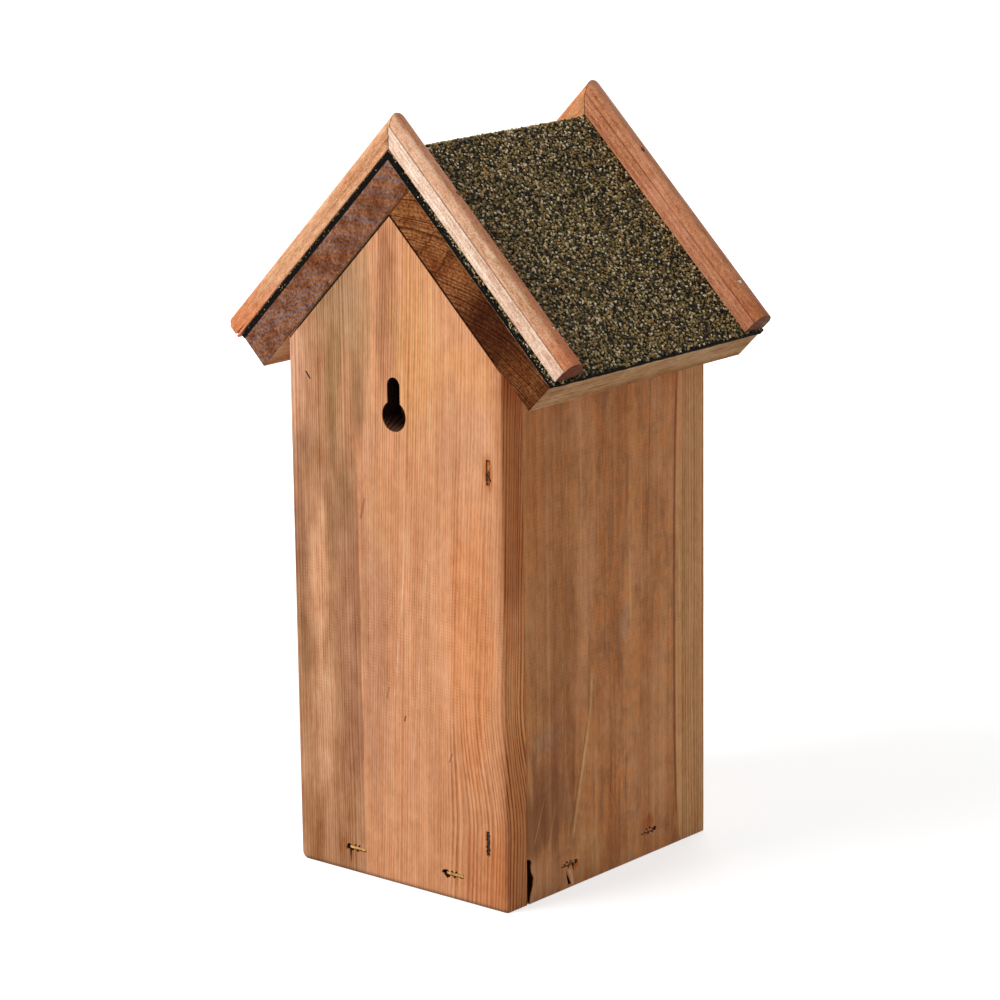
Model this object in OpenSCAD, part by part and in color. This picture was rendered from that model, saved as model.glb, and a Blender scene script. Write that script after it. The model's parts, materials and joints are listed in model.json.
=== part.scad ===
// Wooden nest box with a gabled, felted roof, hung by a keyhole slot in its back wall.
// Millimetres. The front, with the entrance hole, faces -Y, the back faces +Y and +Z is up.
// The origin is on the ground under the middle of the whole box, its roof included.
// Left and right are those of someone who faces the front: left is -X, right is +X.

/* [Box] */
// Width of the front and back walls
box_w = 135; // [115:1:170]
// Depth over the front and back walls
box_d = 157; // [135:1:200]
// Height of the walls at the eaves
eave_h = 267; // [230:1:310]
// Thickness of the back wall
back_t = 15; // [12:0.5:20]
// Thickness of the front wall
front_t = 18; // [12:0.5:22]
// Thickness of the side walls
side_t = 18; // [12:0.5:22]
// Thickness of the floor
floor_t = 15; // [12:0.5:20]
// Height of the floor's underside above the walls' lower ends
floor_rise = 5; // [2:0.5:12]

/* [Holes] */
// Diameter of the entrance hole
entrance_d = 32; // [25:1:45]
// Height of the entrance hole's centre
entrance_h = 205; // [150:1:220]
// Diameter of the keyhole's round end, which passes a screw's head
keyhole_d = 15; // [12:0.5:18]
// Height of the keyhole's round end above the ground
keyhole_h = 236.5; // [180:0.5:250]
// Width of the keyhole's slot, which takes a screw's shank
keyslot_w = 8; // [5:0.5:9]
// Distance from the centre of the keyhole's round end to that of its slot's top
keyslot_rise = 15; // [12:0.5:22]
// Diameter of the drain holes in the floor
drain_d = 8; // [5:0.5:12]
// Distance of the drain holes from the walls around the floor
drain_margin = 22; // [15:1:26]

/* [Roof] */
// Slope of the roof in degrees
roof_pitch = 45; // [38:1:52]
// Thickness of the roof boards
roof_t = 18; // [12:0.5:22]
// How far the ridge stands off the middle of the walls, to the right
ridge_off = 1; // [-4:0.5:4]
// How far the roof passes the front wall
front_over = 7; // [0:0.5:30]
// Overhang of the right board, which laps the other's top end, down the slope
lap_over = 25; // [15:0.5:40]
// Overhang of the left board, which butts against the right one, down the slope
butt_over = 23; // [15:0.5:40]
// Thickness of the roofing felt
felt_t = 3.5; // [2:0.5:5]
// How far the felt passes the lower ends of the boards
felt_over = 1; // [0:0.5:8]

/* [Verge battens] */
// Width of a batten on the felt
batten_w = 15.5; // [13:0.5:20]
// Height of a batten at the crown of its bead
batten_h = 11.8; // [10:0.1:14]
// Height of its flat back side, below the quirk
batten_flat_h = 7.6; // [6:0.1:9]
// Height of its plain front side, below the bead
batten_low_h = 5.4; // [4:0.1:7]
// Width of the quirk between the flat side and the bead
quirk_w = 1; // [0.5:0.1:1.5]
// Depth of the quirk below the flat side's top
quirk_depth = 0.8; // [0.3:0.1:1.5]
// Distance of the bead's crown from the flat side
crown_in = 6; // [4.5:0.1:7]
// How far the right battens pass the lower end of their board
lap_batten_past = 4; // [-5:0.5:5]
// How far the left battens pass the lower end of their board
butt_batten_past = -0.5; // [-5:0.5:5]
// How far the back battens sit in from the ends of the roof boards
back_set = 1; // [0:0.5:5]
// How far the front battens sit in from the ends of the roof boards
front_set = 0; // [0:0.5:5]

/* [Staples] */
// Width of a staple over its legs
staple_w = 11.5; // [9:0.5:13]
// Thickness of the staple wire along its crown's width
wire_w = 1.3; // [0.8:0.1:1.6]
// Thickness of the staple wire, flat
wire_t = 0.7; // [0.5:0.1:1]
// Length of a staple's legs
staple_leg = 28; // [24:1:32]
// Depth of the crown below the wood's surface
staple_sink = 0.4; // [0:0.1:1.5]
// Distance of a floor staple from its wall's middle, towards the right or the back
floor_staple_right = 30; // [20:0.5:40]
// Distance of the other one from the middle, towards the left or the front
floor_staple_left = 33.5; // [20:0.5:40]
// Height of the lower staples that hold the side walls
low_staple_h = 33; // [30:1:60]
// Height of the upper staples that hold the side walls
high_staple_h = 217; // [180:1:220]
// How much nearer the middle the lower staples stand than the upper ones
low_staple_in = 3; // [0:0.5:5]

/* [Pins] */
// Diameter of a pin's head
pin_head_d = 2.6; // [2:0.1:3.5]
// Thickness of a pin's head
pin_head_t = 0.8; // [0.5:0.1:1.2]
// Diameter of a pin's shank
pin_d = 1.4; // [1:0.1:1.8]
// Length of a pin
pin_l = 25; // [22:1:30]
// Distance of the back battens' upper pins from the ridge, down the slope
back_pin_from_ridge = 38; // [25:1:55]
// Distance of the front battens' upper pins from the ridge, down the slope
front_pin_from_ridge = 34; // [25:1:55]
// Distance of the lower pins from the battens' lower ends
pin_from_end = 22; // [6:1:30]
// Distance of the back battens' pins from the battens' flat side
back_pin_in = 9.5; // [5:0.5:11]
// Distance of the front battens' pins from the battens' flat side
front_pin_in = 6; // [5:0.5:11]

/* [Hidden] */

LEFT = -1;
RIGHT = 1;
HOLE_FN = 96;     // sides of a bored hole
PIN_FN = 12;      // sides of a pin
ARC_STEPS = 8;    // steps in each half of a batten's bead
CUT = 1;          // how far a cut passes the face that it opens

side_len = box_d - back_t - front_t;
room_w = box_w - 2 * side_t;
roof_d = box_d + front_over;
apex_h = eave_h + box_w / 2 * tan(roof_pitch);
cover_t = roof_t + felt_t;
felt_ridge_h = apex_h + cover_t / cos(roof_pitch);

y_back = roof_d / 2;
y_front = y_back - box_d;
y_roof_front = -roof_d / 2;
y_room_back = y_back - back_t;
y_room_front = y_front + front_t;
y_room_mid = (y_room_back + y_room_front) / 2;

floor_mid_h = floor_rise + floor_t / 2;
side_mid_x = (box_w - side_t) / 2;
floor_staples = [floor_staple_right, -floor_staple_left];

function overhang(side) = side == RIGHT ? lap_over : butt_over;
function batten_past(side) = side == RIGHT ? lap_batten_past : butt_batten_past;

// Distance across, from the ridge to the outside of a side wall.
function half_w(side) = box_w / 2 - side * ridge_off;

// Distance down the slope, from the walls' apex to the outside of a side wall.
function wall_slope(side) = half_w(side) / cos(roof_pitch);

// The battens reach furthest to each side, and unequally, so the walls stand off the middle.
reach = [for (side = [LEFT, RIGHT]) (overhang(side) + batten_past(side)) * cos(roof_pitch)];
x_walls = (reach[0] - reach[1]) / 2;

// A point in the cross-section of the roof: down the slope from the walls' apex, then out of it.
function slope_point(side, down, out) = [
    ridge_off + side * (down * cos(roof_pitch) + out * sin(roof_pitch)),
    apex_h - down * sin(roof_pitch) + out * cos(roof_pitch)
];

// Points of an arc from one angle to another, both ends included.
function arc_points(centre, r, from, to) = [
    for (i = [0 : ARC_STEPS]) centre + r * [cos(from + (to - from) * i / ARC_STEPS),
                                            sin(from + (to - from) * i / ARC_STEPS)]
];

// Moves the walls and roof so that the origin is under the middle of the whole box.
module placed() {
    translate([x_walls, 0, 0]) children();
}

// Extrudes a front-view outline towards the front, over a depth from a back face.
module slab(back_y, depth) {
    translate([0, back_y, 0]) rotate([90, 0, 0]) linear_extrude(depth) children();
}

// Sets children out from the ridge, to one side of it.
module from_ridge(side) {
    translate([ridge_off, 0, 0]) mirror([side == RIGHT ? 0 : 1, 0, 0]) children();
}

// Stands children on the felt: x runs down the slope from the ridge and z out of the roof.
module on_slope(side) {
    from_ridge(side) translate([0, 0, felt_ridge_h]) rotate([0, roof_pitch, 0]) children();
}

module gable_outline() {
    polygon([
        [LEFT * box_w / 2, 0], [RIGHT * box_w / 2, 0],
        slope_point(RIGHT, wall_slope(RIGHT), 0), slope_point(RIGHT, 0, 0),
        slope_point(LEFT, wall_slope(LEFT), 0)
    ]);
}

// A staple whose crown lies along X and whose legs run down -Z from the face at z = 0.
// The pocket that it sits in is open to the face.
module staple(pocket) {
    open = pocket ? staple_sink + CUT : 0;
    translate([-staple_w / 2, -wire_w / 2, -staple_sink - wire_t])
        cube([staple_w, wire_w, wire_t + open]);
    for (side = [LEFT, RIGHT])
        translate([side * (staple_w - wire_t) / 2 - wire_t / 2, -wire_w / 2,
                   -staple_sink - staple_leg])
            cube([wire_t, wire_w, staple_leg - wire_t]);
}

// Staples through a gable wall, into the floor's end and into the ends of the side walls.
module gable_staples(face_y, out, sides, pocket) {
    for (x = floor_staples)
        translate([x, face_y, floor_mid_h]) rotate([-90 * out, 0, 0]) staple(pocket);
    for (side = sides, place = [[low_staple_in, low_staple_h], [0, high_staple_h]])
        translate([side * (side_mid_x - place[0]), face_y, place[1]])
            rotate([-90 * out, 0, 0]) rotate([0, 0, 90]) staple(pocket);
}

module back_staples(pocket = false) {
    gable_staples(y_back, 1, [LEFT], pocket);
}

module front_staples(pocket = false) {
    gable_staples(y_front, -1, [LEFT, RIGHT], pocket);
}

// Staples through a side wall into the floor's edge.
module side_staples(side, pocket = false) {
    for (y = floor_staples)
        translate([side * box_w / 2, y_room_mid + y, floor_mid_h])
            rotate([0, 90 * side, 0]) rotate([0, 0, 90]) staple(pocket);
}

// The bead is two arcs that meet at its crown. The back side is at y = 0, the front at -batten_w.
bead_start = quirk_w;
bead_r1 = crown_in - bead_start;
front_run = batten_w - crown_in;
front_drop = batten_h - batten_low_h;
bead_r2 = (front_run * front_run + front_drop * front_drop) / (2 * front_drop);
bead_end_angle = 90 + asin(front_run / bead_r2);

module batten_section() {
    polygon(concat(
        [[-batten_w, 0], [0, 0], [0, batten_flat_h], [-quirk_w, batten_flat_h - quirk_depth]],
        arc_points([-crown_in, batten_h - bead_r1], bead_r1, 0, 90),
        arc_points([-crown_in, batten_h - bead_r2], bead_r2, 90, bead_end_angle)
    ));
}

function batten_length(side) =
    wall_slope(side) + overhang(side) + cover_t * tan(roof_pitch) + batten_past(side);

// A batten from the mitre at the ridge to the lower end of its roof board.
module batten(side, back_side_y) {
    above = batten_h * tan(roof_pitch);
    intersection() {
        on_slope(side)
            translate([-above, back_side_y, 0]) rotate([90, 0, 90])
                linear_extrude(above + batten_length(side)) batten_section();
        from_ridge(side)
            translate([0, back_side_y - batten_w, 0])
                cube([box_w + overhang(side), batten_w, 2 * felt_ridge_h]);
    }
}

y_back_batten = y_back - back_set;
y_front_batten = y_roof_front + front_set + batten_w;
back_pins = [y_back_batten, back_pin_from_ridge, back_pin_in];
front_pins = [y_front_batten, front_pin_from_ridge, front_pin_in];

// Height of the bead's front half at a distance from the flat side.
function bead_h(in) = batten_h - bead_r2 + sqrt(bead_r2 * bead_r2 - (in - crown_in) * (in - crown_in));

// Two pins through a batten, driven square to the slope until no part of the head stands proud.
// Each end is [where the battens' flat side is, the upper pins' distance from the ridge, and
// that of both pins from the flat side].
module pins(side, end, pocket = false) {
    open = pocket ? CUT : 0;
    top = bead_h(end[2] + (end[2] > crown_in ? pin_head_d / 2 : 0));
    for (x = [end[1], batten_length(side) - pin_from_end])
        on_slope(side) translate([x, end[0] - end[2], top - pin_head_t]) {
            cylinder(h = pin_head_t + open, d = pin_head_d, $fn = PIN_FN);
            translate([0, 0, pin_head_t - pin_l])
                cylinder(h = pin_l - pin_head_t, d = pin_d, $fn = PIN_FN);
        }
}

module all_pins(side, pocket = false) {
    for (end = [back_pins, front_pins]) pins(side, end, pocket);
}

module keyhole() {
    for (part = [[keyhole_d, 0], [keyslot_w, keyslot_rise]])
        translate([0, y_back + CUT, keyhole_h + part[1]]) rotate([90, 0, 0])
            cylinder(h = back_t + 2 * CUT, d = part[0], $fn = HOLE_FN);
    translate([-keyslot_w / 2, y_room_back - CUT, keyhole_h])
        cube([keyslot_w, back_t + 2 * CUT, keyslot_rise]);
}

module back_wall() {
    color("#c98f5e") placed() difference() {
        slab(y_back, back_t) gable_outline();
        keyhole();
        back_staples(pocket = true);
    }
}

module front_wall() {
    color("#c98f5e") placed() difference() {
        slab(y_room_front, front_t) gable_outline();
        translate([0, y_room_front + CUT, entrance_h]) rotate([90, 0, 0])
            cylinder(h = front_t + 2 * CUT, d = entrance_d, $fn = HOLE_FN);
        front_staples(pocket = true);
    }
}

// The top end of a side wall is bevelled to the slope of the roof.
module side_wall(side) {
    outer = slope_point(side, wall_slope(side), 0);
    inner = slope_point(side, wall_slope(side) - side_t / cos(roof_pitch), 0);
    color("#a06944") placed() difference() {
        slab(y_room_back, side_len) polygon([[outer.x, 0], outer, inner, [inner.x, 0]]);
        side_staples(side, pocket = true);
        back_staples(pocket = true);
        front_staples(pocket = true);
    }
}

module floor_board() {
    color("#a97a50") placed() difference() {
        translate([-room_w / 2, y_room_front, floor_rise]) cube([room_w, side_len, floor_t]);
        for (side = [LEFT, RIGHT], end = [LEFT, RIGHT])
            translate([side * (room_w / 2 - drain_margin),
                       y_room_mid + end * (side_len / 2 - drain_margin), floor_rise - CUT])
                cylinder(h = floor_t + 2 * CUT, d = drain_d, $fn = HOLE_FN);
        for (side = [LEFT, RIGHT]) side_staples(side, pocket = true);
        back_staples(pocket = true);
        front_staples(pocket = true);
    }
}

// Where the underside of the lapping board, carried on, meets the top of the butted one.
lap_corner = [
    ridge_off + LEFT * roof_t / (2 * sin(roof_pitch)), apex_h + roof_t / (2 * cos(roof_pitch))
];
board_ridge = [ridge_off, apex_h + roof_t / cos(roof_pitch)];

module roof_board(side) {
    end = wall_slope(side) + overhang(side);
    ridge = side == RIGHT ? [board_ridge, lap_corner] : [lap_corner, slope_point(side, 0, 0)];
    color("#7d5236") placed() difference() {
        slab(y_back, roof_d) polygon(concat(
            [slope_point(side, end, 0), slope_point(side, end, roof_t)], ridge
        ));
        all_pins(side, pocket = true);
    }
}

module roof_felt() {
    right_end = wall_slope(RIGHT) + lap_over + felt_over;
    left_end = wall_slope(LEFT) + butt_over + felt_over;
    color("#3b352d") placed() difference() {
        slab(y_back, roof_d) polygon([
            slope_point(RIGHT, right_end, roof_t),
            slope_point(RIGHT, right_end, cover_t),
            [ridge_off, felt_ridge_h],
            slope_point(LEFT, left_end, cover_t),
            slope_point(LEFT, left_end, roof_t),
            board_ridge
        ]);
        for (side = [LEFT, RIGHT]) all_pins(side, pocket = true);
    }
}

module verge_batten(side, end) {
    color("#c08a66") placed() difference() {
        batten(side, end[0]);
        pins(side, end, pocket = true);
    }
}

module batten_pins(side, end) {
    color("#b9a58c") placed() pins(side, end);
}

back_wall();
front_wall();
side_wall(LEFT);  // side_wall_left
side_wall(RIGHT);  // side_wall_right
floor_board();
roof_board(LEFT);  // roof_board_left
roof_board(RIGHT);  // roof_board_right
roof_felt();
verge_batten(LEFT, back_pins);  // batten_back_left
verge_batten(RIGHT, back_pins);  // batten_back_right
verge_batten(LEFT, front_pins);  // batten_front_left
verge_batten(RIGHT, front_pins);  // batten_front_right
batten_pins(LEFT, back_pins);  // pins_back_left
batten_pins(RIGHT, back_pins);  // pins_back_right
batten_pins(LEFT, front_pins);  // pins_front_left
batten_pins(RIGHT, front_pins);  // pins_front_right
color("#c2b280") placed() back_staples();  // staples_back
color("#c2b280") placed() front_staples();  // staples_front
color("#c2b280") placed() side_staples(LEFT);  // staples_side_left
color("#c2b280") placed() side_staples(RIGHT);  // staples_side_right
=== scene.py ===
"""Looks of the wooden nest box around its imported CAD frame. Metres, +Z up, its back at +Y."""
import json
from math import asin, cos, pi, radians, sin, sqrt, tan, tau

import bmesh
import bpy
import numpy as np
from mathutils import Euler, Matrix, Vector, noise


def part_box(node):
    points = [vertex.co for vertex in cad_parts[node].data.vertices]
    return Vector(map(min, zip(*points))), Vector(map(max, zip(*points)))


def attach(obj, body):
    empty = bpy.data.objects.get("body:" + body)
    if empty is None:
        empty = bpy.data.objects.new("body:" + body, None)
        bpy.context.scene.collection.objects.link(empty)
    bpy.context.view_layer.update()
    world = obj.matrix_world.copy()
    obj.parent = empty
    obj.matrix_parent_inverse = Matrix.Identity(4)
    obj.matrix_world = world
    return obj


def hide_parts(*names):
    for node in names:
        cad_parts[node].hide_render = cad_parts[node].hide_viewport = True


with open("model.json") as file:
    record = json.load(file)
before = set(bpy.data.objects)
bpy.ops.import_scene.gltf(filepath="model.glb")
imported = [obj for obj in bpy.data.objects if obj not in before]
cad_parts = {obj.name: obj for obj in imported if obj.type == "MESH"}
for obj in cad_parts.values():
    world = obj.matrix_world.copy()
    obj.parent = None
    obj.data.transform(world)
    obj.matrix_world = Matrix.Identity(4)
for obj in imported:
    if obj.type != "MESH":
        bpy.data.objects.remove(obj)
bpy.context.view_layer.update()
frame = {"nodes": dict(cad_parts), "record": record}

MM = 0.001
LEFT, RIGHT = -1, 1             # sides of someone facing the front: left is -X
PITCH = radians(45)
COS, SIN, TAN = cos(PITCH), sin(PITCH), tan(PITCH)
SEED = 7
SIDE_NAME = {LEFT: "left", RIGHT: "right"}
X, Y, Z = (Vector(row) for row in Matrix.Identity(3))


def mm(x, y, z):
    """A vector given in millimetres."""
    return Vector((x, y, z)) * MM


def arc(first, last, steps):
    """Cosine and sine of angles at even steps, with both ends."""
    return [(cos(a), sin(a)) for a in (first + (last - first) * i / steps for i in range(steps + 1))]


def wave(*place):
    """Smooth noise from about -1 to 1."""
    return noise.noise(Vector(place))


# -------- places, from the frame
def cad_points(node):
    """The corners of a CAD node, in metres, as an array."""
    mesh = frame["nodes"][node].data
    points = np.empty(len(mesh.vertices) * 3)
    mesh.vertices.foreach_get("co", points)
    return points.reshape(-1, 3)


def reach(node, origin, axis):
    """How far a CAD node goes from a place along an axis."""
    return ((cad_points(node) - np.array(origin)) @ np.array(axis)).max()


def cad_solids(node):
    """The separate solids of a CAD node, each as an array of its corners."""
    bm = bmesh.new()
    bm.from_mesh(frame["nodes"][node].data)
    bmesh.ops.remove_doubles(bm, verts=bm.verts, dist=1e-6)
    left, solids = set(bm.verts), []
    while left:
        stack, found = [left.pop()], []
        while stack:
            vert = stack.pop()
            found.append(vert.co.copy())
            for edge in vert.link_edges:
                other = edge.other_vert(vert)
                if other in left:
                    left.remove(other)
                    stack.append(other)
        solids.append(np.array(found))
    bm.free()
    return sorted(solids, key=lambda s: tuple(s.mean(0).round(5)))


BACK_LO, BACK_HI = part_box("back_wall")
FRONT_LO, FRONT_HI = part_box("front_wall")
FELT_LO, FELT_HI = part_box("roof_felt")
WALLS_X = (BACK_LO.x + BACK_HI.x) / 2
APEX_H = BACK_HI.z
RIDGE_X = max(cad_points("roof_felt"), key=lambda point: point[2])[0]
RIDGE = Vector((RIDGE_X, 0, FELT_HI.z))
BOARDS_RIDGE_H = max(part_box("roof_board_left")[1].z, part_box("roof_board_right")[1].z)
# In millimetres, for the woods.
MID = WALLS_X / MM
BACK_FACE, FRONT_FACE = BACK_HI.y / MM, FRONT_LO.y / MM
WALL_T = (BACK_HI.y - BACK_LO.y) / MM
KEYHOLE = next(m for m in frame["record"]["mounts"] if m["name"] == "keyhole")

# Sizes that the frame's boxes don't tell.
KEYSLOT_W, KEYSLOT_RISE = 8 * MM, 15 * MM
ENTRANCE_H, ENTRANCE_R = 205 * MM, 16 * MM
DRAIN_R, DRAIN_MARGIN = 4 * MM, 22 * MM
BATTEN_FLAT_H, BATTEN_LOW_H = 7.6 * MM, 5.4 * MM        # of a batten's +Y side and -Y side
QUIRK_W, QUIRK_DEPTH, CROWN_IN = 1.0 * MM, 0.8 * MM, 6.0 * MM


def slope_axes(side):
    """Unit vectors down a roof slope and out of it."""
    return Vector((side * COS, 0, -SIN)), Vector((side * SIN, 0, COS))


# -------- material nodes
def srgb(r, g, b):
    """A colour written in 0 to 255 steps, as the linear one that a shader takes."""
    parts = [c / 255 for c in (r, g, b)]
    return tuple(p / 12.92 if p <= 0.04045 else ((p + 0.055) / 1.055) ** 2.4 for p in parts) + (1,)


class Value:
    """A node's output. Sums, products and the like of values are made by further nodes.

    a | b is the greater of the two.
    """

    def __init__(self, graph, node, output):
        self.graph, self.node, self.socket = graph, node, node.outputs[output]

    def __add__(self, other):
        return self.graph.math("ADD", self, other)

    def __sub__(self, other):
        return self.graph.math("SUBTRACT", self, other)

    def __rsub__(self, other):
        return self.graph.math("SUBTRACT", other, self)

    def __mul__(self, other):
        return self.graph.math("MULTIPLY", self, other)

    def __truediv__(self, other):
        return self.graph.math("DIVIDE", self, other)

    def __or__(self, other):
        return self.graph.math("MAXIMUM", self, other)

    def __abs__(self):
        return self.graph.math("ABSOLUTE", self)

    __radd__, __rmul__ = __add__, __mul__


class Nodes:
    """Adds nodes to a shader tree. Each call gives the new node's output."""

    def __init__(self, owner):
        owner.use_nodes = True
        self.tree = owner.node_tree

    def add(self, kind, inputs=None, output=0, **settings):
        node = self.tree.nodes.new("ShaderNode" + kind)
        for name, value in settings.items():
            setattr(node, name, value)
        for name, value in (inputs or {}).items():
            self.put(node.inputs[name], value)
        return Value(self, node, output)

    def put(self, socket, value):
        if isinstance(value, Value):
            self.tree.links.new(value.socket, socket)
        else:
            socket.default_value = value

    def math(self, operation, a, b=0.0, c=0.0):
        return self.add("Math", {0: a, 1: b, 2: c}, operation=operation)

    def vector_math(self, operation, a, b=(0, 0, 0), output=0):
        return self.add("VectorMath", {0: a, 1: b}, output, operation=operation)

    def scaled(self, vector, *scale):
        return self.vector_math("MULTIPLY", vector, scale)

    def parts(self, vector):
        node = self.add("SeparateXYZ", {0: vector}).node
        return [Value(self, node, axis) for axis in range(3)]

    def noise(self, vector, scale=1.0, detail=2.0, roughness=0.5, output=0):
        return self.add("TexNoise", {"Vector": vector, "Scale": scale, "Detail": detail,
                                     "Roughness": roughness}, output)

    def range(self, value, low, high, to_low=0.0, to_high=1.0, kind="SMOOTHSTEP"):
        return self.add("MapRange", {"Value": value, "From Min": low, "From Max": high,
                                     "To Min": to_low, "To Max": to_high}, interpolation_type=kind)

    def linear(self, *value_and_ranges):
        return self.range(*value_and_ranges, kind="LINEAR")

    def mix(self, amount, a, b, blend="MIX"):
        node = self.add("Mix", {"Factor": amount}, data_type="RGBA", blend_type=blend).node
        self.put(node.inputs[6], a)
        self.put(node.inputs[7], b)
        return Value(self, node, 2)

    def ramp(self, value, stops, kind="LINEAR"):
        node = self.add("ValToRGB", {"Fac": value}).node
        ramp = node.color_ramp
        ramp.interpolation = kind
        while len(ramp.elements) < len(stops):
            ramp.elements.new(1)
        for element, (place, colour) in zip(ramp.elements, stops):
            element.position = place
            element.color = colour if len(colour) == 4 else srgb(*colour)
        return Value(self, node, 0)

    def curve(self, value, points, low, high):
        """A smooth line through points of (place, value), with places from low to high."""
        node = self.add("FloatCurve", {"Value": self.linear(value, low, high)}).node
        curve = node.mapping.curves[0]
        values = [v for _, v in points]
        bottom, top = min(values), max(max(values), min(values) + 1e-3)
        flat = [((p - low) / (high - low), (v - bottom) / (top - bottom)) for p, v in points]
        for at, point in zip(flat[:1] + flat[-1:], (curve.points[0], curve.points[-1])):
            point.location = at
        for at in flat[1:-1]:
            curve.points.new(*at)
        node.mapping.update()
        return self.linear(Value(self, node, 0), 0, 1, bottom, top)

    def seen_directly(self):
        """1 where the ray comes from the camera, a mirror or a clear piece, and 0 elsewhere."""
        path = self.add("LightPath").node
        camera, glossy, clear = (Value(self, path, path.outputs.find(f"Is {kind} Ray"))
                                 for kind in ("Camera", "Glossy", "Transmission"))
        return camera | glossy | clear


class Material(Nodes):
    """A new material, with its surface set from the colour down."""

    def __init__(self, name):
        self.material = bpy.data.materials.new(name)
        super().__init__(self.material)
        self.shader = self.tree.nodes["Principled BSDF"]
        self.place = self.add("TexCoord", output="Object")

    def surface(self, colour, roughness, shine, metallic=0.0):
        values = {"Base Color": colour, "Roughness": roughness, "Specular IOR Level": shine,
                  "Metallic": metallic}
        for name, value in values.items():
            self.put(self.shader.inputs[name], value)

    def bump(self, height, depth):
        """Surface relief of that depth in metres for a height from 0 to 1."""
        normal = self.add("Bump", {"Height": height, "Distance": depth, "Strength": 1.0})
        self.put(self.shader.inputs["Normal"], normal)


def link(thing):
    bpy.context.scene.collection.objects.link(thing)


# -------- camera, light, floor
TARGET = Vector((WALLS_X - 0.0658, BACK_HI.y, 0.20508))
CAMERA_AZIMUTH = 0.7010         # radians from +Y towards -X
CAMERA_ELEVATION = 0.2390
CAMERA_ROLL = -0.01295
CAMERA_DISTANCE = 1.726
LENS_MM = 132.5


def make_camera():
    level = cos(CAMERA_ELEVATION)
    back = Vector((-sin(CAMERA_AZIMUTH) * level, cos(CAMERA_AZIMUTH) * level,
                   sin(CAMERA_ELEVATION)))
    right = (-back).cross(Z).normalized()
    up = right.cross(-back)
    c, s = cos(CAMERA_ROLL), sin(CAMERA_ROLL)
    axes = Matrix((c * right + s * up, c * up - s * right, back)).transposed().to_4x4()
    camera = bpy.data.objects.new("camera", bpy.data.cameras.new("camera"))
    camera.matrix_world = Matrix.Translation(TARGET + back * CAMERA_DISTANCE) @ axes
    camera.data.lens = LENS_MM
    camera.data.sensor_width = 36
    link(camera)
    bpy.context.scene.camera = camera


# Soft boxes: place, size and power. The key lights the back wall, the other fills the front.
LAMPS = {
    "key": ((0.62, 1.35, 1.55), 0.9, 28.0),
    "front_fill": ((0.9, -1.6, 1.3), 1.4, 15.0),
}
WORLD_LIGHT = 0.33
MIDDLE = Vector((0, 0, 0.17))


def make_lamps():
    for name, (place, size, watts) in LAMPS.items():
        lamp = bpy.data.lights.new(name, "AREA")
        lamp.size, lamp.energy = size, watts
        holder = bpy.data.objects.new(name, lamp)
        holder.location = place
        holder.rotation_euler = (Vector(place) - MIDDLE).to_track_quat("Z", "Y").to_euler()
        link(holder)


def make_world():
    """White where it is seen, and dimmer where it lights the scene."""
    bpy.context.scene.world = bpy.data.worlds.new("studio")
    g = Nodes(bpy.context.scene.world)
    background = g.tree.nodes["Background"]
    background.inputs["Color"].default_value = (1, 1, 1, 1)
    g.put(background.inputs["Strength"], g.linear(g.seen_directly(), 0, 1, WORLD_LIGHT, 1))


FLOOR_COLOUR = 0.55
FLOOR_LIFT = 0.68               # how much paler than it is lit the floor looks near the object
FAR_LIFT = 1.0                  # and away from it
FAR = (0.25, 0.9)               # metres from the object between which the lift grows


def make_floor():
    g = Material("pale_floor")
    g.surface((FLOOR_COLOUR,) * 3 + (1,), 0.9, 0.0)
    g.shader.inputs["Emission Color"].default_value = (1, 1, 1, 1)
    away = g.vector_math("LENGTH", g.add("NewGeometry", output="Position"), output="Value")
    lift = g.range(away, *FAR, FLOOR_LIFT, FAR_LIFT)
    g.put(g.shader.inputs["Emission Strength"], g.seen_directly() * lift)
    bpy.ops.mesh.primitive_plane_add(size=16)
    floor = bpy.context.object
    floor.name = "floor"
    floor.data.materials.append(g.material)


# -------- wood
GAIN = (0.75, 1.1, 1.45)        # how much a tone changes red, green and blue: dark wood is redder
# The colour of the painted shade inside slots, holes, cracks, the chip and the open joints.
PAINTED_HOLE_SHADE = (34, 18, 10)


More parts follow.
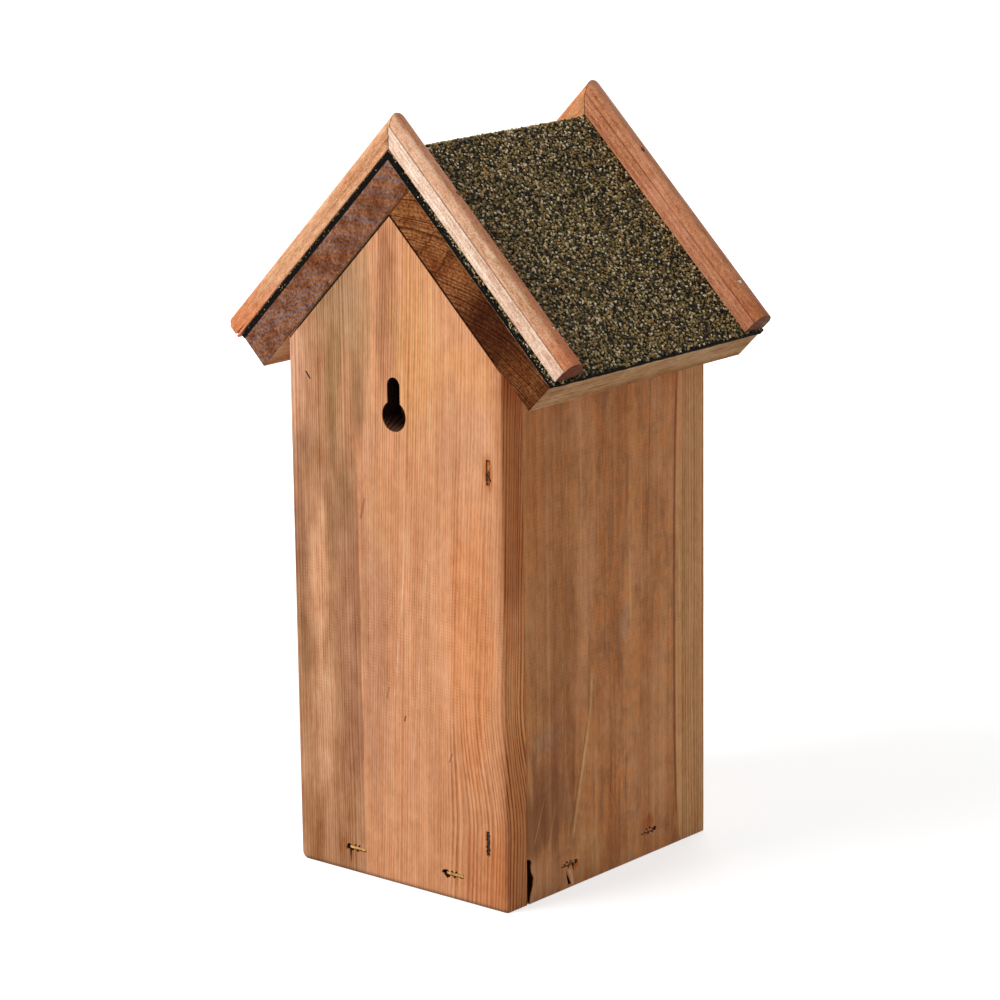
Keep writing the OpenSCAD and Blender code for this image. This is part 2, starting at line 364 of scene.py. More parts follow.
class Wood(Material):
    """Sawn softwood: growth rings round a pith line, fibres along it, and stains.

    Positions are in millimetres, with the board's grain turned to Z. pith is where the heart of
    the tree lies across the grain, and ring the width of a growth ring. The colour is kept apart
    from the tone, the share by which rings and streaks make it lighter or darker. Patches and
    lines have their places in across, the distance from the board's middle or its edge.
    """

    def __init__(self, name, turn, pith, ring, colours, seed, wander=1.0, shift=None):
        super().__init__(name)
        self.turn, self.pith, self.ring = turn, pith, ring
        self.mm = self.add("Mapping", {"Vector": self.place, "Rotation": turn, "Scale": (1000,) * 3})
        self.x, self.y, self.z = self.parts(self.mm)
        self.across = self.x - MID
        self.seeded = self.vector_math("ADD", self.mm, (seed * 37, seed * 53, seed * 91))
        self.ragged = self.linear(self.grain(4.5, 45), 0.25, 0.75, -0.5, 0.5)
        cloud = self.range(self.grain(16, 110), 0.35, 0.65)
        self.colour = self.mix(cloud, srgb(*colours[0]), srgb(*colours[1]))
        self.late, self.luck = self.rings(wander, shift)
        self.tone = 0.0

    def grain(self, across, along, detail=2.0, roughness=0.5, output=0):
        """Noise drawn out along the grain, with features of about these sizes."""
        scale = (1 / across, 1 / across, 1 / along)
        return self.noise(self.scaled(self.seeded, *scale), 1, detail, roughness, output)

    def sway(self, across, along, amount):
        """A slow sideways wander of the grain."""
        sway = self.vector_math("SUBTRACT", self.grain(across, along, output=1), (0.5,) * 3)
        return self.scaled(sway, amount, amount, 0)

    def rings(self, wander, shift):
        """How far a place is into its ring's late wood, from 0 to 1, and the ring's own luck."""
        at = self.vector_math("ADD", self.mm, self.sway(50, 210, wander * 5))
        at = self.vector_math("ADD", at, self.sway(9, 50, wander * 0.9))
        if shift:
            at = self.vector_math("ADD", at, self.add("CombineXYZ", {0: shift(self)}))
        offset = self.scaled(self.vector_math("SUBTRACT", at, (*self.pith, 0)), 1, 1, 0)
        radius = self.vector_math("LENGTH", offset, output="Value")
        uneven = self.noise(self.add("CombineXYZ", {0: radius * 0.13}), detail=2)
        turns = uneven * 4.0 + radius / self.ring
        luck = self.add("TexWhiteNoise", {"W": self.math("FLOOR", turns)}, noise_dimensions="1D")
        late = self.ramp(self.math("FRACT", turns), [(0, (0,) * 3), (0.3, (50,) * 3), (0.62, (225,) * 3),
                                                     (0.86, (255,) * 3), (1, (0,) * 3)], "EASE")
        return late, luck

    def vary(self, noise, amount, low=0.3, high=0.7):
        """Adds a noise to the tone."""
        self.tone += self.linear(noise, low, high, -amount, amount)

    def ring_tone(self, contrast, even=0.3, boost=1.0):
        """Adds the growth rings to the tone. even is the least that a faint ring has."""
        strength = self.linear(self.luck, 0, 0.6, contrast * even, contrast * 0.75)
        self.tone += (0.32 - self.late) * strength * boost

    def fibres(self, streak, fibre, cloud=0.05, width=2.2, grit=0.0):
        """Adds streaks of that width, fine fibres, soft clouds and specks to the tone."""
        self.vary(self.grain(width, 190, 3), streak)
        self.vary(self.grain(width * 3.3, 150, 2), streak * 0.7)
        self.vary(self.grain(0.42, 20, 3, 0.6), fibre * 0.8, 0.25, 0.75)
        self.vary(self.grain(1.3, 4.5, 3, 0.6), fibre)
        self.vary(self.grain(20, 75), cloud)
        self.vary(self.grain(8, 11, 3), cloud)
        self.vary(self.noise(self.seeded, 1.2, 2, 0.7), grit)

    def chatter(self, step, amount, where=1.0):
        """Marks across the grain, that step apart, left by a planer's knives."""
        phase = self.z * (tau / step) + self.ragged * 3
        self.tone += self.math("SINE", phase) * where * amount

    def blend(self, amount, tint):
        self.colour = self.mix(amount, self.colour, srgb(*tint))

    def patch(self, tint, centre, radii, strength, softness=0.9):
        """Stains a ragged ellipse. centre and radii are across the board and along it."""
        dx = (self.across - centre[0]) / radii[0]
        dz = (self.z - centre[1]) / radii[1]
        away = self.math("SQRT", dx * dx + dz * dz) + self.ragged
        self.blend(self.range(away, 1 + softness / 2, 1 - softness / 2, 0, strength), tint)

    def line(self, points, width, tint, strength):
        """A streak of that width along points of (height, place across), from the lowest up."""
        low, high = points[0][0], points[-1][0]
        away = abs(self.across - self.curve(self.z, points, low, high))
        fade = (high - low) * 0.12
        ends = self.range(self.z, low, low + fade) * self.range(self.z, high, high - fade)
        self.blend(self.range(away, width / 2, width / 5) * ends * strength, tint)

    def facing(self, way, least=0.75):
        """1 on faces whose outward normal points that way."""
        normal = self.add("NewGeometry", output="True Normal")
        return self.range(self.vector_math("DOT_PRODUCT", normal, way, output="Value"), least, least + 0.15)

    def ends(self, early=(150, 98, 62), late=(104, 62, 38), rough=0.3):
        """Colours the ends of the board, where it is cut across the grain."""
        grain = Euler(self.turn).to_matrix().inverted() @ Z
        facing = self.facing(grain, 0.5) | self.facing(-grain, 0.5)
        pores = self.noise(self.seeded, 0.7, 3, 0.75)
        streak = self.late * self.range(self.luck, 0, 1, 0.4, 1)
        tone = self.linear(pores, 0.3, 0.7, -rough, rough)
        return facing, self.toned(self.mix(streak, srgb(*early), srgb(*late)), tone)

    def toned(self, colour, tone):
        """The colour made lighter or darker by a share."""
        tones = self.add("CombineXYZ", {0: tone, 1: tone, 2: tone})
        gain = self.vector_math("ADD", self.scaled(tones, *GAIN), (1, 1, 1))
        return self.vector_math("MULTIPLY", colour, self.vector_math("MAXIMUM", gain, (0.03,) * 3))

    def finish(self, ends, hole=None, over=None, relief=0.00010, rough=0.6, shine=0.15):
        """Puts the colour together. hole is 1 where slots and holes get painted shade.

        ends and over are (amount, colour); over lies above all else.
        """
        colour = self.mix(ends[0], self.toned(self.colour, self.tone), ends[1])
        if hole is not None:
            colour = self.mix(hole, colour, srgb(*PAINTED_HOLE_SHADE))
        if over:
            colour = self.mix(over[0], colour, over[1])
        self.surface(colour, rough, shine)
        self.bump(self.linear(self.tone, -0.5, 0.5), relief)
        return self.material


UPRIGHT, LEVEL = (0, 0, 0), (pi / 2, 0, 0)         # turns of upright boards and of level ones


def sloping(side):
    """The turn of a batten, whose grain runs down the slope."""
    return (0, side * (pi / 2 - PITCH), 0)


# -------- mesh helpers
BOARD_SMOOTH, TURNED_SMOOTH, FELT_SMOOTH = 35, 40, 50      # degrees between faces shaded as one
DICE_STEP = 5 * MM              # the grid in which a board's surface is worn


def new_object(name, bm, smooth_angle, *materials):
    mesh = bpy.data.meshes.new(name)
    bmesh.ops.recalc_face_normals(bm, faces=bm.faces)
    bm.to_mesh(mesh)
    bm.free()
    for material in materials:
        mesh.materials.append(material)
    for face in mesh.polygons:
        face.use_smooth = True
    mesh.set_sharp_from_angle(angle=radians(smooth_angle))
    piece = bpy.data.objects.new(name, mesh)
    link(piece)
    return piece


def hull_of(node):
    """The plain outer shape of a board, without its holes."""
    bm = bmesh.new()
    for point in np.unique(cad_points(node).round(7), axis=0):
        bm.verts.new(point)
    made = bmesh.ops.convex_hull(bm, input=bm.verts)
    spare = {v for v in made["geom_interior"] + made["geom_unused"] if isinstance(v, bmesh.types.BMVert)}
    bmesh.ops.delete(bm, geom=list(spare), context="VERTS")
    bmesh.ops.dissolve_limit(bm, angle_limit=0.01, verts=bm.verts, edges=bm.edges)
    return bm


def ease(bm, radius, chosen=None, segments=3):
    """Rounds the edges that chosen picks, or all of them."""
    edges = [e for e in bm.edges if chosen is None or chosen(e)]
    bmesh.ops.bevel(bm, geom=edges, offset=radius, segments=segments, profile=0.5,
                    affect="EDGES", clamp_overlap=True)


def cut(bm, cutter):
    """Takes the cutter's closed shapes out of a solid."""
    solids = []
    for name, source in (("cut_body", bm), ("cut_tool", cutter)):
        mesh = bpy.data.meshes.new(name)
        bmesh.ops.recalc_face_normals(source, faces=source.faces)
        source.to_mesh(mesh)
        solids.append(bpy.data.objects.new(name, mesh))
        link(solids[-1])
    boolean = solids[0].modifiers.new("cut", "BOOLEAN")
    boolean.operation, boolean.solver, boolean.object = "DIFFERENCE", "EXACT", solids[1]
    boolean.use_self = True
    graph = bpy.context.evaluated_depsgraph_get()
    result = solids[0].evaluated_get(graph).to_mesh()
    bm.clear()
    bm.from_mesh(result)
    cutter.free()
    for solid in solids:
        mesh = solid.data
        bpy.data.objects.remove(solid)
        bpy.data.meshes.remove(mesh)


def dice(bm, step):
    """Cuts the faces into a grid, so that the surface can be made uneven."""
    points = np.array([v.co for v in bm.verts])
    for axis in range(3):
        low, high = points[:, axis].min(), points[:, axis].max()
        count = max(1, round((high - low) / step))
        normal = (X, Y, Z)[axis]
        for i in range(1, count):
            at = normal * (low + (high - low) * i / count)
            bmesh.ops.bisect_plane(bm, geom=bm.verts[:] + bm.edges[:] + bm.faces[:],
                                   plane_co=at, plane_no=normal, dist=1e-7)


def weather(bm, depth, size, seed):
    """Wears a solid's surface unevenly, inwards only."""
    bm.normal_update()
    offset = Vector((seed * 3.1, seed * 1.7, seed * 2.3))
    for vert in bm.verts:
        slow, fast = wave(*(vert.co / size + offset)), wave(*(vert.co / size * 3.1 + offset))
        vert.co -= vert.normal * depth * (0.5 + 0.35 * slow + 0.15 * fast)


def skin(bm, rings, material=0):
    """Joins each ring of corners to the next, and closes both ends with a face. Returns those two."""
    faces = [bm.faces.new(rings[0]), bm.faces.new(reversed(rings[-1]))]
    for a, b in zip(rings, rings[1:]):
        for i in range(len(a)):
            j = (i + 1) % len(a)
            faces.append(bm.faces.new((a[i], a[j], b[j], b[i])))
    for face in faces:
        face.material_index = material
    return faces[:2]


def sweep(bm, path, side, half_width, half_thickness, material):
    """A strip of wire with rounded edges along a path that stays square to side."""
    r = 0.45 * min(half_width, half_thickness)
    section = [(sx * (half_width - r) + r * c, sy * (half_thickness - r) + r * s)
               for sx, sy, turn in ((1, 1, 0), (-1, 1, 0.5), (-1, -1, 1), (1, -1, 1.5))
               for c, s in arc(turn * pi, (turn + 0.5) * pi, 2)]
    rings = []
    for i, point in enumerate(path):
        ahead = (path[min(i + 1, len(path) - 1)] - path[max(i - 1, 0)]).normalized()
        out = side.cross(ahead)
        rings.append([bm.verts.new(point + side * u + out * v) for u, v in section])
    skin(bm, rings, material)


def add_prism(bm, outline, base, up):
    """A closed prism from an outline of points, carried along up."""
    skin(bm, [[bm.verts.new(p + place) for p in outline] for place in (base, base + up)])


def keep(piece, slot, *nodes):
    """The piece stands for the CAD nodes, which are hidden. slot is not used."""
    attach(piece, "root")
    if nodes:
        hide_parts(*nodes)
    return piece


# -------- staples and pins
OUTWARD = {"staples_back": Y, "staples_front": -Y,
           "staples_side_left": -X, "staples_side_right": X}
STAPLE_SUNK = 0.4 * MM          # depth of a crown below the wall's face
WIRE_T = 0.7 * MM
WIRE_BEND = 0.9 * MM


class Staple:
    """A staple's place and size, read from its CAD solid."""

    def __init__(self, solid, out):
        low, high = Vector(solid.min(0)), Vector(solid.max(0))
        size = high - low
        order = sorted(range(3), key=lambda i: size[i])
        self.out = out
        self.across, self.along = ((X, Y, Z)[i] for i in order[:2])
        self.wire, self.width, self.leg = (size[i] for i in order)
        self.crown = (low + high) / 2 + out * self.leg / 2
        self.upright = self.along.z > 0.5


STAPLES = {node: [Staple(solid, out) for solid in cad_solids(node)] for node, out in OUTWARD.items()}


def metal(name, colour, dull_colour, roughness, metallic=0.85):
    g = Material(name)
    dull = g.noise(g.scaled(g.place, 520, 520, 520), detail=3)
    colour = g.mix(g.range(dull, 0.42, 0.62), srgb(*colour), srgb(*dull_colour))
    g.surface(colour, roughness, 0.5, metallic)
    g.bump(dull, 0.00003)
    return g.material


def staple_path(staple):
    """Along one leg, over the crown and down the other leg."""
    top = staple.crown - staple.out * WIRE_T / 2
    path = []
    for end in (-1, 1):
        bend = staple.width / 2 - WIRE_T / 2 - WIRE_BEND
        corner = top + staple.along * end * bend - staple.out * WIRE_BEND
        turn = [corner + (staple.along * end * s + staple.out * c) * WIRE_BEND for c, s in arc(0, pi / 2, 6)]
        foot = corner + staple.along * end * WIRE_BEND - staple.out * (staple.leg - WIRE_BEND - WIRE_T / 2)
        path = [foot] + turn[::-1] if end < 0 else path + turn + [foot]
    return path


def make_staples():
    """Gilt wire over the floor's edge on the back and front and stained wire elsewhere, but the wire of the
    low upright staples is painted dark as the shade of their slots.
    """
    gilt = metal("staple_wire", (226, 182, 108), (190, 140, 72), 0.45, 0.6)
    stained = metal("stained_wire", (190, 122, 58), (52, 32, 18), 0.6, 0.4)
    # Painted shade: the dark wire of the low upright staples, which lie shaded in their slots.
    dark_metal = metal("rusty_wire", (62, 38, 22), (30, 18, 12), 0.7, 0.3)
    for node, staples in STAPLES.items():
        bm = bmesh.new()
        for staple in staples:
            low = staple.upright and staple.crown.z < HIGH_STAPLE
            wire = 2 if low else int(staple.upright or "side" in node)
            sweep(bm, staple_path(staple), staple.across, staple.wire / 2, WIRE_T / 2, wire)
        keep(new_object(node + "_wire", bm, TURNED_SMOOTH, gilt, stained, dark_metal), "staple_wire", node)


PIN_NODES = [f"pins_{end}_{SIDE_NAME[side]}" for end in ("back", "front") for side in (LEFT, RIGHT)]
PIN_PROFILE = ((0.7, -24), (0.7, -0.85), (1.2, -0.8), (1.3, -0.5), (1.1, -0.2), (0.55, -0.05))
PIN_HOLE_R = 1.5 * MM


def add_lathed(bm, profile, base, axis, sides=16, material=0):
    """A turned solid: profile is (radius, height along the axis) from bottom to top."""
    turn = axis.to_track_quat("Z", "X").to_matrix()
    rings = [[bm.verts.new(base + turn @ Vector((r * c, r * s, h))) for c, s in arc(0, tau, sides)[1:]]
             for r, h in profile]
    skin(bm, rings, material)


def pin_heads(node):
    """The middle of each pin's head and its axis, from the ridge down."""
    side = LEFT if node.endswith("left") else RIGHT
    out = slope_axes(side)[1]
    heads = []
    for solid in cad_solids(node):
        height = solid @ np.array(out)
        heads.append((Vector(solid[height > height.max() - 1e-5].mean(0)), out))
    return sorted(heads, key=lambda head: -head[0].z)


def make_pins():
    """The upper pins are rusted dark, and the lower ones still shine."""
    steel = metal("pin_steel", (226, 216, 204), (170, 160, 150), 0.3)
    dark_metal = metal("rusty_pin", (40, 26, 24), (22, 14, 12), 0.7, 0.3)
    for node in PIN_NODES:
        bm = bmesh.new()
        for i, (top, out) in enumerate(pin_heads(node)):
            add_lathed(bm, [(r * MM, h * MM) for r, h in PIN_PROFILE], top, out, material=int(i == 0))
        keep(new_object(node + "_steel", bm, TURNED_SMOOTH, steel, dark_metal), "pin_steel", node)


# -------- slots, holes and cracks
def add_pit(bm, centre, outline, inward, depth, narrow=0.7):
    """A pit in a face: its outline round a centre, carried inward and narrowed to its floor."""
    levels = [[bm.verts.new(centre + p - inward * MM) for p in outline],
              [bm.verts.new(centre + p) for p in outline],
              [bm.verts.new(centre + p * narrow + inward * depth) for p in outline]]
    skin(bm, levels)


def torn_slot(along, across, length, width, seed, steps=13):
    """A slot's outline with torn long sides."""
    def point(i, way):
        torn = 1 + 0.6 * wave(i * 0.83, seed * 2.1, way)
        return along * (length * (i / (steps - 1) - 0.5)) + across * (way * width / 2 * torn)
    return [point(i, 1) for i in range(steps)] + [point(i, -1) for i in reversed(range(steps))]


def torn_hole(along, across, length, width, seed, steps=14):
    """A rough oval."""
    return [(along * c * length + across * s * width) * (0.5 + 0.4 * wave(2 * c, 2 * s, seed * 1.7))
            for c, s in arc(0, tau, steps)[1:]]


def crack(leads, across, width):
    """A split that closes towards the point that leads points to."""
    return [across * width / 2, leads * 0.5 + across * width * 0.35, leads,
            leads * 0.55 - across * width * 0.2, -across * width / 2]


CRACK_DEPTH = 2.5 * MM
SLOT_PAST = 0.9 * MM            # how much longer a slot is than its crown
UPRIGHT_SLOT, LEVEL_SLOT = (2.2 * MM, 2.4 * MM), (1.7 * MM, 1.5 * MM)   # width and depth
# Length, width and depth of holes beside a crown, in millimetres.
HIGH_HOLE, TEAR, DRIVEN_DEPTH = (4.5, 2.9, 2.6), (1.5, 1.2, 1.2), 4
TEARS = (1.2, 1.25), (-1.4, 1.3), (3.2, -1.3), (-0.2, -1.2)      # places of small tears, mm
HIGH_STAPLE = 100 * MM          # the wood is torn more round the upper staples


def staple_pits(bm, node, torn_end, torn_size=3.0):
    """Slots of the staples in a wall. torn_end is the end that has a hole driven beside it."""
    for i, staple in enumerate(STAPLES[node]):
        face = staple.crown + staple.out * STAPLE_SUNK
        wide, deep = UPRIGHT_SLOT if staple.upright else LEVEL_SLOT
        slot = torn_slot(staple.along, staple.across, staple.width + SLOT_PAST, wide, i + 1)
        add_pit(bm, face, slot, -staple.out, deep)
        holes = []
        if staple.upright and staple.crown.z > HIGH_STAPLE:
            holes = [(staple.along * up, HIGH_HOLE, i + j, 11, 0.6) for j, up in enumerate((-3.2, 0.2))]
        if not staple.upright:
            end = staple.along * torn_end
            driven = (torn_size, torn_size * 0.8, DRIVEN_DEPTH)
            holes = [(end * (staple.width / 2 / MM - 0.6), driven, i + 3, 14, 0.5)]
            holes += [(end * along + Z * up, TEAR, i + j + 7, 9, 0.6)
                      for j, (along, up) in enumerate(TEARS)]
        for place, (length, width, depth), seed, steps, narrow in holes:
            hole = torn_hole(staple.along, staple.across, length * MM, width * MM, seed, steps)
            add_pit(bm, face + place * MM, hole, -staple.out, depth * MM, narrow)


# -------- walls and floor
OVER = 2 * MM                   # how far cutters reach past a board's faces
JOINT_GAPS = {LEFT: 0.7 * MM, RIGHT: 1.3 * MM}         # open joints under the roof boards, painted dark inside as shade
JOINT_DEPTH = 1.3 * MM
WALL_ROUND, BOARD_ROUND = 0.6 * MM, 0.5 * MM           # radii of worn edges
WORN_FOOT, RUBBED_EDGE = 3.5 * MM, 1.5 * MM            # and of the back wall's most worn ones


def round_points(cx, cz, r, turns):
    """Points round a centre in a wall's face."""
    return [Vector((cx + r * c, 0, cz + r * s)) for c, s in turns]


def keyhole_outline():
    """A round hole with a slot of the screw's width rising from it."""
    r, slot, rise = KEYHOLE["dims"]["r_mm"] * MM, KEYSLOT_W / 2, KEYSLOT_RISE
    low = KEYHOLE["pos_m"][2]
    gap = asin(slot / r)
    hole = arc(pi / 2 + gap, pi / 2 + tau - gap, 60)
    return (round_points(WALLS_X, low, r, hole)
            + round_points(WALLS_X, low + rise, slot, arc(0, pi, 24)))


def through(bm, outline, low, high):
    """Cuts an outline through a wall that lies between these corners."""
    cutter = bmesh.new()
    add_prism(cutter, outline, Y * (high.y + OVER), Y * (low.y - high.y - 2 * OVER))
    cut(bm, cutter)


def keep_board(name, bm, material, slot, node, wear, patch, seed):
    """Wears a board by up to that many millimetres, in patches of about that size."""
    dice(bm, DICE_STEP)
    weather(bm, wear * MM, patch * MM, seed)
    keep(new_object(name, bm, BOARD_SMOOTH, material), slot, node)


def make_back_wall():
    bm = hull_of("back_wall")

    def worn(edge):
        a, b = (v.co for v in edge.verts)
        return max(a.z, b.z) < 1e-5 and min(a.x, b.x) > BACK_HI.x - 1e-5

    def rubbed(edge):
        return all(v.co.x < BACK_LO.x + 1e-5 and v.co.y > BACK_HI.y - 1e-5 for v in edge.verts)
    ease(bm, WORN_FOOT, worn, 5)
    ease(bm, RUBBED_EDGE, rubbed, 5)
    ease(bm, BOARD_ROUND, lambda edge: edge.calc_face_angle() > 0.6)
    through(bm, keyhole_outline(), BACK_LO, BACK_HI)
    pits = bmesh.new()
    staple_pits(pits, "staples_back", torn_end=1, torn_size=4.4)
    for side, width in JOINT_GAPS.items():
        down, out = slope_axes(side)
        end = down * (abs(RIDGE_X - (BACK_LO if side == LEFT else BACK_HI).x) / COS)
        edge = [end + out * MM, end - out * width, -out * width, out * MM]
        add_pit(pits, Vector((RIDGE_X, BACK_HI.y, APEX_H)), edge, -Y, JOINT_DEPTH, 1.0)
    first = max((s for s in STAPLES["staples_back"] if not s.upright), key=lambda s: s.crown.x)
    foot = first.crown + first.out * STAPLE_SUNK + first.along * (first.width / 2 - 1.2 * MM)
    add_pit(pits, foot, crack(mm(-0.4, 0, -8.5), X, 1.5 * MM), -Y, CRACK_DEPTH)
    cut(bm, pits)
    keep_board("back_wall_board", bm, back_wood(), "wall_wood", "back_wall", 0.12, 14, 1)


def make_front_wall():
    bm = hull_of("front_wall")
    ease(bm, WALL_ROUND)
    entrance = round_points(WALLS_X, ENTRANCE_H, ENTRANCE_R, arc(0, tau, 72)[1:])
    through(bm, entrance, FRONT_LO, FRONT_HI)
    pits = bmesh.new()
    staple_pits(pits, "staples_front", torn_end=-1)
    cut(bm, pits)
    keep_board("front_wall_board", bm, front_wood(), "wall_wood", "front_wall", 0.15, 12, 2)


# Beside the splinter: the foot of each crack from the staple, how far it leads, and its width.
SPLINTER_CRACKS = ((-0.4, -10.6), (2.8, 8.2), 2.5), ((-2.6, -0.8), (-1.6, -4.6), 1.3)
# A chip broken off the left wall's lower back corner: its edge as (past the corner, height).
CHIP = ((2, -1), (-1.3, -1), (-2.4, 4), (-4.3, 9), (-4.8, 13), (-3.2, 16), (-2.8, 19), (-3.3, 21),
        (-2.0, 23), (2, 23.5))
CHIP_DEPTH = 7 * MM


def make_side_wall(side):
    node = "side_wall_" + SIDE_NAME[side]
    bm = hull_of(node)
    low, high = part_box(node)
    ease(bm, WALL_ROUND)
    pits = bmesh.new()
    staple_pits(pits, "staples_side_" + SIDE_NAME[side], torn_end=-1)
    out = X * side
    face_x = high.x if side == RIGHT else low.x
    if side == LEFT:
        chip = [mm(0, *point) for point in CHIP]
        add_pit(pits, Vector((face_x, high.y, 0)), chip, -out, CHIP_DEPTH, 1.0)
        first = max(STAPLES["staples_side_left"], key=lambda s: s.crown.y)
        for foot, leads, width in SPLINTER_CRACKS:
            place = first.crown + out * STAPLE_SUNK + mm(0, *foot)
            add_pit(pits, place, crack(mm(0, *leads), Y, width * MM), -out, CRACK_DEPTH)
    cut(bm, pits)
    keep_board(node + "_board", bm, side_wood(side), "side_wood", node, 0.12, 16, 3 + side)


def make_floor_board():
    bm = hull_of("floor_board")
    low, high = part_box("floor_board")
    ease(bm, BOARD_ROUND)
    holes = bmesh.new()
    for x in (low.x + DRAIN_MARGIN, high.x - DRAIN_MARGIN):
        for y in (low.y + DRAIN_MARGIN, high.y - DRAIN_MARGIN):
            ends = [(DRAIN_R, -OVER), (DRAIN_R, high.z - low.z + OVER)]
            add_lathed(holes, ends, Vector((x, y, low.z)), Z, 32)
    cut(bm, holes)
    wood = Wood("floor_wood", LEVEL, (-60, 90), 2.2, ((206, 150, 104), (192, 136, 94)), seed=5)
    wood.ring_tone(0.35)
    wood.fibres(0.1, 0.06)
    piece = new_object("floor_board_wood", bm, BOARD_SMOOTH, wood.finish(wood.ends()))
    keep(piece, "side_wood", "floor_board")


# -------- woods of the boards
def painted_shade_inside(g, depth, wall_t, sides_clear):
    """Painted shade: 1 inside slots and holes, below a wall's face and short of its other face."""
    inside = g.range(depth, 0.35, 0.8) * g.range(depth, wall_t - 0.4, wall_t - 1.2)
    return inside * sides_clear * g.range(g.z, 0.4, 1.2)


def back_shift(g):
    """The grain leans in the board's middle and bulges sideways round a knot at its lower corner."""
    lean = (g.z * 0.045 - 11.2) * g.range(g.across, 27, 20)
    bulge = g.range(g.z, 108, 34) * g.range(g.across, -20, -54)
    return bulge * 11 + lean


def keyhole_floor(wood, hole):
    """Inside the keyhole the end grain that faces up shows as dark stripes."""
    normal = wood.parts(wood.add("NewGeometry", output="True Normal"))[2]
    low = KEYHOLE["pos_m"][2] / MM
    near = wood.range(wood.z, low + 4, low - 1) * wood.range(wood.z, low - 12, low - 9)
    up = wood.range(normal, 0.1, 0.6) * near
    stripes = wood.mix(wood.late, srgb(116, 78, 62), srgb(50, 30, 22))
    return up * wood.linear(hole, 0, 0.6), stripes


def high_staples():
    return [s.crown / MM for s in STAPLES["staples_back"] if s.upright and s.crown.z > HIGH_STAPLE]


def rust_inside(wood, hole):
    """Torn fibres in the slots of the upper staples, where the slots' painted shade is left out in patches.
    """
    near = 0.0
    for crown in high_staples():
        near = wood.range(abs(wood.x - crown.x), 4.5, 3.5) * wood.range(abs(wood.z - crown.z), 11, 9) | near
    return hole * wood.range(wood.grain(0.9, 3.0, 2), 0.42, 0.52, 0, 0.85) * near


# Along the back wall's edge that shows beside the left wall: the share of EAVE, and the tint.
EAVE = 262                      # about the height at which the roof hides the walls, mm
EDGE_TINTS = ((0.0, (206, 132, 80)), (0.22, (222, 142, 84)), (0.42, (246, 168, 106)),
              (0.54, (238, 152, 94)), (0.62, (210, 128, 74)), (1.0, (208, 126, 72)))
# Stains of the back wall: tint, (across, height), radii and strength.
BACK_PATCHES = (
    ((226, 168, 126), (50, 75), (7, 48), 0.7), ((232, 168, 124), (51, 148), (5.5, 36), 0.8),
    ((228, 168, 132), (63, 252), (7, 34), 0.8), ((188, 142, 100), (29, 290), (20, 32), 0.75),
    ((206, 148, 112), (15, 140), (10, 88), 0.7), ((152, 112, 70), (40.5, 232), (3.5, 30), 0.65),
    ((164, 112, 82), (64, 168), (4.5, 38), 0.7), ((160, 112, 78), (58, 213), (8, 11), 0.55),
    ((152, 110, 70), (36, 186), (8, 26), 0.7), ((164, 116, 82), (24, 240), (4, 16), 0.6),
    ((160, 112, 76), (62, 112), (4, 18), 0.7), ((172, 116, 72), (60, 20), (9, 20), 0.7),
    ((176, 134, 98), (38, 300), (16, 26), 0.5), ((184, 124, 88), (2, 290), (9, 40), 0.75),
    ((160, 118, 74), (38, 262), (4, 22), 0.6), ((170, 122, 82), (21, 256), (5, 26), 0.5),
    ((240, 174, 110), (-14, 270), (14, 42), 0.5), ((238, 166, 102), (-44, 260), (20, 14), 0.45),
    ((222, 160, 122), (-42, 232), (15, 26), 0.5), ((244, 158, 100), (-46, 130), (14, 62), 0.55),
    ((236, 166, 122), (-6, 95), (13, 55), 0.5), ((226, 160, 108), (10, 190), (9, 24), 0.5),
    ((212, 132, 80), (-55, 16), (16, 24), 0.6), ((206, 120, 66), (-62, 22), (5, 22), 0.6))
# And streaks: points of (height, across), width, tint and strength.
BACK_LINES = (
    (((85, 5), (130, -1), (190, -7)), 1.3, (250, 204, 166), 0.4),
    (((60, -8), (110, -13), (175, -20)), 1.2, (250, 204, 166), 0.4),
    (((225, -22), (262, -24), (305, -25)), 1.0, (250, 208, 166), 0.35),
    (((94, 8), (101, 6.5)), 1.6, (150, 86, 50), 0.5), (((84.5, -3), (88, -4)), 1.5, (104, 58, 34), 0.8),
    (((69, -31.5), (74.5, -33.5)), 1.4, (130, 76, 48), 0.6),
    (((182, 23), (194, 20)), 2.2, (142, 96, 68), 0.5), (((248.0, 54), (252.0, 57)), 1.9, (64, 42, 36), 1.0))


